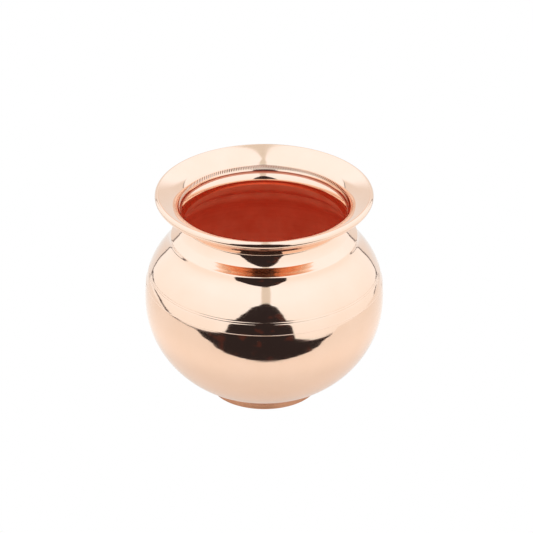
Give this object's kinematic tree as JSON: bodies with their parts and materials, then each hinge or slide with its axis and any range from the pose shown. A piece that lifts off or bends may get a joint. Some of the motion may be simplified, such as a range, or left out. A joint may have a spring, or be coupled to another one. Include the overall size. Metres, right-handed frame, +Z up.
{
  "type": "kalash pot",
  "caption": "Round-bellied spun metal water pot with a stepped shoulder, narrow throat, flared rolled lip and low foot ring.",
  "frame": {"origin": "on the pot's axis, at the surface that the foot ring stands on", "axes": "+Z up along the pot's axis; X and Y are equivalent, -Y is the side seen in the reference view"},
  "size_m": [0.11, 0.11, 0.1],
  "materials": {
    "polished_copper": "copper sheet, spun and mirror polished outside and on the mouth, left matte brick red inside the belly",
    "braze": "brazing alloy, dressed flush, satin and redder than the sheet"
  },
  "bodies": {
    "root": {"lower_bowl": "polished_copper", "upper_shell": "polished_copper", "mouth_ring": "polished_copper", "foot_ring": "polished_copper", "belly_braze": "braze", "neck_braze": "braze", "foot_braze": "braze"}
  },
  "joints": []
}
